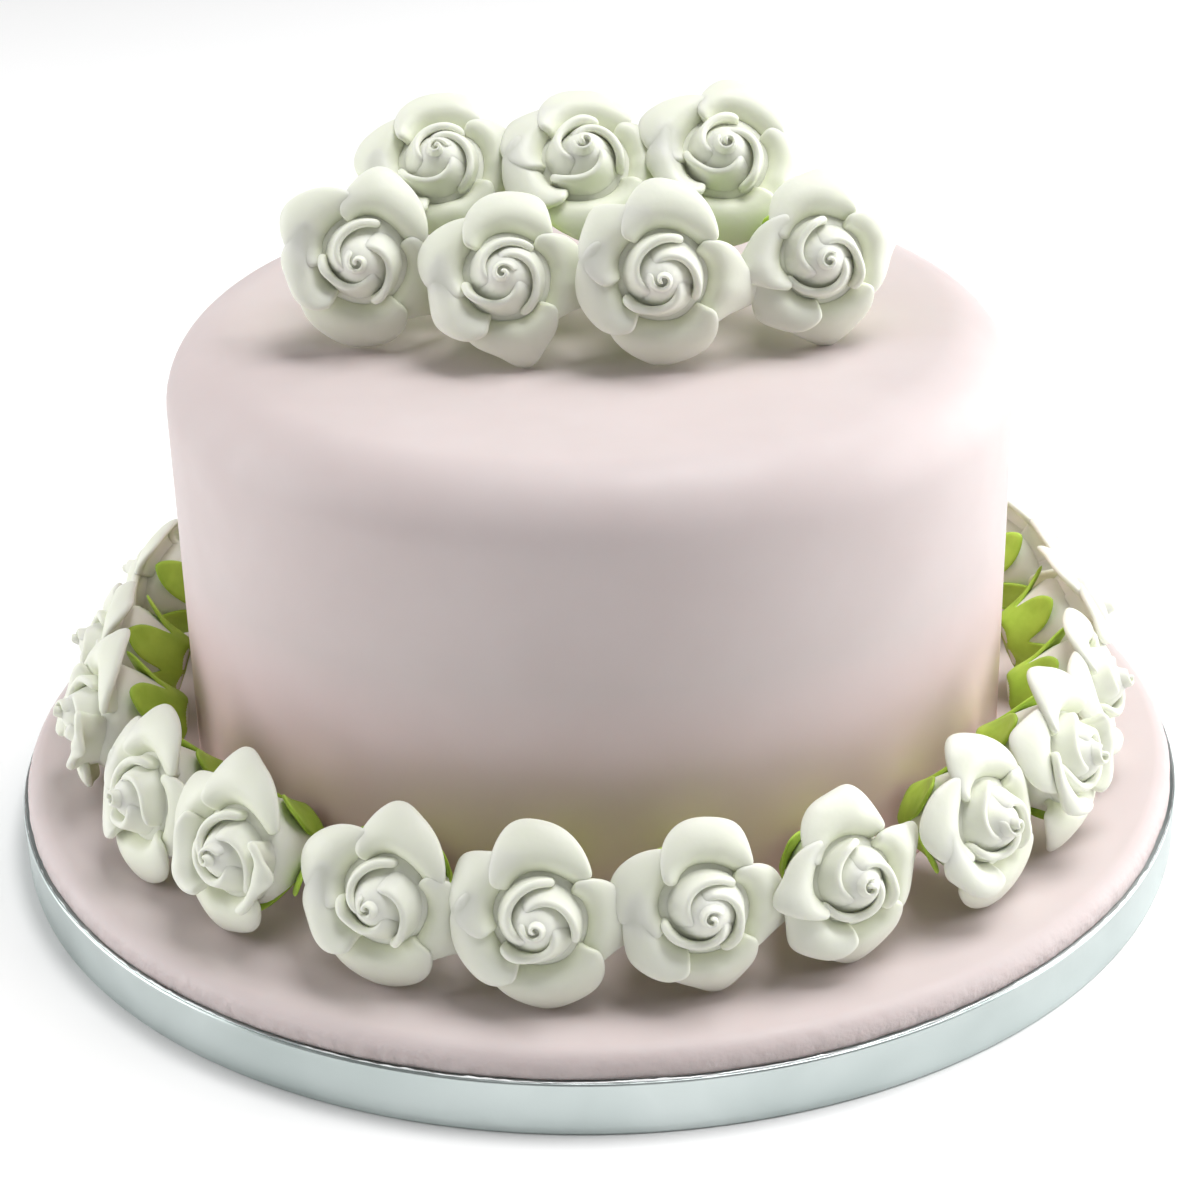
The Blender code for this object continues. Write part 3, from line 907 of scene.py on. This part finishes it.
def build_rose(kind):
    draw = random.Random(kind)
    detail = random.Random(DETAIL_SEED + kind)
    twist = draw.uniform(*TWISTS)
    parts = [cone()]
    for petal, (place, half_width, stretch, curl) in enumerate(PETAL_PLACES):
        peak, point = PETAL_TIPS[kind][petal]
        angle = math.radians(place + draw.uniform(-PLACE_SHIFT, PLACE_SHIFT))
        angle += math.radians(detail.uniform(-PLACE_SHIFT, PLACE_SHIFT))
        if (kind, petal) in HALF_CLOSED:
            stretch, curl = HALF_CLOSED[kind, petal]
        if petal == 0:
            stretch -= POINT_BELOW * point  # so that a pointed lowest petal stays above the icing
        stretch += draw.uniform(-STRETCH_SHIFT, STRETCH_SHIFT)
        curl += (draw.uniform(0.0, CURL_MORE) + detail.uniform(-CURL_SHIFT, CURL_SHIFT)) * MM
        parts.append(outer_petal(angle, math.radians(half_width), stretch, curl, peak, point,
                                 detail.uniform(*DRAWN_IN) * MM))
    for step in range(HEART_PETALS):
        place = (twist + step / HEART_PETALS) * math.tau + detail.uniform(-HEART_SHIFT, HEART_SHIFT)
        inner = detail.uniform(*INNER_RADII) * MM, INNER_HEIGHT
        free = detail.uniform(*FREE_RADII) * MM, detail.uniform(*FREE_HEIGHTS) * MM
        half_width = math.radians(detail.uniform(*HEART_WIDTHS))
        parts.append(wrapped_petal(place, half_width, inner, free, detail.uniform(*HEART_POINTS)))
    parts.append(middle_curl(twist * math.tau))
    rose = joined(parts, "rose_kind_" + str(kind))
    mark_hollows(rose)
    rose.data.transform(Matrix.Scale(ROSE_SIZES[kind], 4))
    rose.data.materials.clear()
    rose.data.materials.append(white_paste)
    return smoothed(rose)


rose_kinds = [build_rose(kind) for kind in range(len(ROSE_SIZES))]
print("a rose has", [triangles(rose) for rose in rose_kinds], "triangles")

# %% [markdown]
# ## The calyx
# Behind each rose sits a green cup that ends in five broad pointed sepals. They lie close to the
# cone, and their tips curl outwards, so that some green shows between the petals. We extrude a
# filled circle upwards in rings, and move each ring to a share of the height that the star-shaped
# edge has at its angle.

# %% Build the five calyxes
SEPALS = 5
SEPAL_TURN = 0.25
SEPAL_LENGTHS = (0.88, 1.06)
CALYX_SEED = 100
# the cup's wall, where it leaves the stalk and where it meets the petals: radius and height
WALL_FOOT = (6.6 * MM, 1.3 * MM)
WALL_HEAD = (10.6 * MM, 13.0 * MM)
SEPAL_NOTCH = 5.4 * MM
SEPAL_TIP = 17.0 * MM
SEPAL_LIFT = 4.8 * MM
SEPAL_THICK = 0.95 * MM
CUP_SIDES = 50
CUP_RINGS = 6
CUP_UNDER = 1.0 * MM
CUP_CLEAR = 0.35 * MM


def cone_radius(height):
    slope = (WALL_HEAD[0] - WALL_FOOT[0]) / (WALL_HEAD[1] - WALL_FOOT[1])
    return WALL_FOOT[0] + slope * (height - WALL_FOOT[1])


def build_calyx(kind):
    draw = random.Random(CALYX_SEED + kind)
    # a star has twice as many corners as tips, and only the tips use their numbers
    corners = [draw.uniform(*SEPAL_LENGTHS) for corner in range(2 * SEPALS)]
    lengths = corners[::2]
    deselect()
    bpy.ops.mesh.primitive_circle_add(vertices=CUP_SIDES, radius=cone_radius(CUP_UNDER),
                                      fill_type="NGON")
    cup = added("calyx_kind_" + str(kind))
    bpy.ops.object.mode_set(mode="EDIT")
    bpy.ops.mesh.select_mode(type="EDGE")
    bpy.ops.mesh.select_all(action="DESELECT")
    bpy.ops.mesh.select_non_manifold()
    for ring in range(CUP_RINGS):
        bpy.ops.mesh.extrude_edges_move(TRANSFORM_OT_translate={"value": (0, 0, MM)})
    bpy.ops.object.mode_set(mode="OBJECT")

    def sepal_shape(co):
        turn = math.atan2(co.y, co.x) % math.tau
        slot = turn / math.tau * SEPALS + SEPAL_TURN
        from_middle = abs(slot - round(slot)) * 2
        length = lengths[round(slot) % SEPALS]
        star = 1 - 0.6 * from_middle - 0.4 * from_middle ** 3
        edge = SEPAL_NOTCH + (SEPAL_TIP * length - SEPAL_NOTCH) * star
        share = co.z / (CUP_RINGS * MM)
        height = CUP_UNDER + (edge - CUP_UNDER) * share
        lift = SEPAL_LIFT * max(0.0, star - 0.2) * share ** 4
        radius = cone_radius(height) + CUP_CLEAR + lift
        return Vector((radius * math.cos(turn), radius * math.sin(turn), height))

    reshape(cup, sepal_shape)
    activate(cup)
    bpy.ops.object.mode_set(mode="EDIT")
    bpy.ops.mesh.select_all(action="SELECT")
    bpy.ops.mesh.normals_make_consistent(inside=False)
    bpy.ops.object.mode_set(mode="OBJECT")
    wall = cup.modifiers.new("wall", "SOLIDIFY")
    wall.thickness = SEPAL_THICK
    wall.offset = 1.0
    rounding = cup.modifiers.new("rounding", "SUBSURF")
    rounding.levels = rounding.render_levels = 1
    apply_modifiers(cup)
    cup.data.transform(Matrix.Scale(ROSE_SIZES[kind], 4))
    cup.data.materials.append(green_paste)
    return smoothed(cup)


calyx_kinds = [build_calyx(kind) for kind in range(len(ROSE_SIZES))]
print("a calyx has", [triangles(cup) for cup in calyx_kinds], "triangles")

# %% [markdown]
# ## Laying the roses
# Each rose has a node, and its calyx node tells where it stands: the calyx's flat underside is
# the ring of points that lies furthest back along the flower's axis. The flower's direction is
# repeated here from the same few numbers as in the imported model: its turn from the front, its
# tilt upwards, its spin about its own axis, and its kind.

# %% Directions of the roses
# turn from the front (degrees, to the right), tilt, spin and kind, for those that the front shows
RING_FRONT = (
    (-75.3, 17.0, -5.0, 4),
    (-56.4, 18.0, 6.0, 2),
    (-39.9, 16.0, 2.0, 4),
    (-22.0, 17.0, -4.0, 0),
    (-6.1, 17.0, 5.0, 2),
    (10.1, 16.0, 0.0, 1),
    (25.9, 18.0, 8.0, 3),
    (43.9, 17.0, 4.0, 0),
    (59.8, 16.0, -4.0, 4),
)
RING_COUNT = 21
RING_TILT = 17.0
RING_SEED = 11
TILT_SHIFT = 2.0
SPIN_SHIFT = 7.0
# turn, tilt, spin and kind of the four roses that lie on the cake and the three behind them
TOP_ROSES = (
    (-4.0, 15.0, -14.0, 0),
    (-3.0, 27.0, 4.0, 1),
    (0.0, 13.0, -4.0, 2),
    (10.0, 18.0, 12.0, 3),
    (-4.0, 45.0, 12.0, 1),
    (2.0, 50.0, 4.0, 2),
    (4.0, 42.0, -10.0, 0),
)


def ring_roses():
    """The roses that the front shows, and evenly spaced ones round the back."""
    draw = random.Random(RING_SEED)
    roses = list(RING_FRONT)
    unseen = RING_COUNT - len(RING_FRONT)
    last = RING_FRONT[-1][0]
    step = (360.0 + RING_FRONT[0][0] - last) / (unseen + 1)
    for index in range(unseen):
        tilt = RING_TILT + draw.uniform(-TILT_SHIFT, TILT_SHIFT)
        spin = draw.uniform(-SPIN_SHIFT, SPIN_SHIFT)
        roses.append((last + step * (index + 1), tilt, spin, (2 * index + 1) % len(ROSE_SIZES)))
    return roses


def facing(turn, tilt, spin):
    """The rotation of a rose: its own axis is Z, and its own Y is up."""
    return (Matrix.Rotation(math.radians(turn), 4, "Z")
            @ Matrix.Rotation(math.radians(90.0 - tilt), 4, "X")
            @ Matrix.Rotation(math.radians(spin), 4, "Z"))


def underside(node, axis):
    """The middle of the flat underside of a calyx node."""
    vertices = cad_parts[node].data.vertices
    points = [Vector(co) for co in {tuple(round(x, 6) for x in vertex.co) for vertex in vertices}]
    lowest = min(point.dot(axis) for point in points)
    ring = [point for point in points if point.dot(axis) < lowest + 0.05 * MM]
    return sum(ring, Vector()) / len(ring)


# %% Copy a rose and a calyx to each place
def lay(source, name, matrix, node):
    piece = source.copy()
    piece.data = source.data.copy()
    piece.name = piece.data.name = name
    piece.data.transform(matrix)
    bpy.context.scene.collection.objects.link(piece)
    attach(piece, "root")
    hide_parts(node)


places = [("ring_" + format(index + 1, "02d"), *row) for index, row in enumerate(ring_roses())]
places += [("top_" + str(index + 1), *row) for index, row in enumerate(TOP_ROSES)]
for name, turn, tilt, spin, kind in places:
    rotation = facing(turn, tilt, spin)
    axis = rotation.to_3x3() @ Vector((0, 0, 1))
    matrix = Matrix.Translation(underside("calyx_" + name, axis)) @ rotation
    lay(rose_kinds[kind], "sugar_rose_" + name, matrix, "rose_" + name)
    lay(calyx_kinds[kind], "green_cup_" + name, matrix, "calyx_" + name)
for source in rose_kinds + calyx_kinds:
    bpy.data.objects.remove(source, do_unlink=True)
print(len(places), "roses laid")
